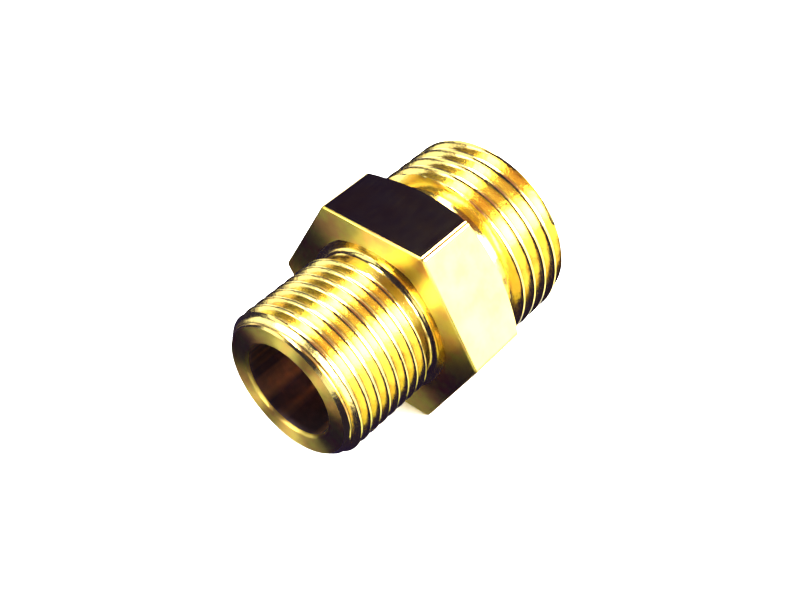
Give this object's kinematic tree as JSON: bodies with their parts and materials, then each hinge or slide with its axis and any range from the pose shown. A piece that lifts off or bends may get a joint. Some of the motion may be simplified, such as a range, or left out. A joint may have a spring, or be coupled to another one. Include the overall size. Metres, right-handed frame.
{
  "type": "hex nipple",
  "caption": "Male to male reducing pipe nipple with a hexagon collar, right-hand parallel pipe threads at both ends and a bore right through.",
  "frame": {"origin": "on the nipple's axis, at the middle of the hexagon's length", "axes": "+Y along the axis towards the larger thread, +Z square to one wrench flat, so the part lies on the opposite flat"},
  "size_m": [0.0252, 0.0315, 0.022],
  "materials": {
    "brass_body": "bright turned and lightly polished"
  },
  "bodies": {
    "root": {"nipple_body": "brass_body"}
  },
  "joints": []
}
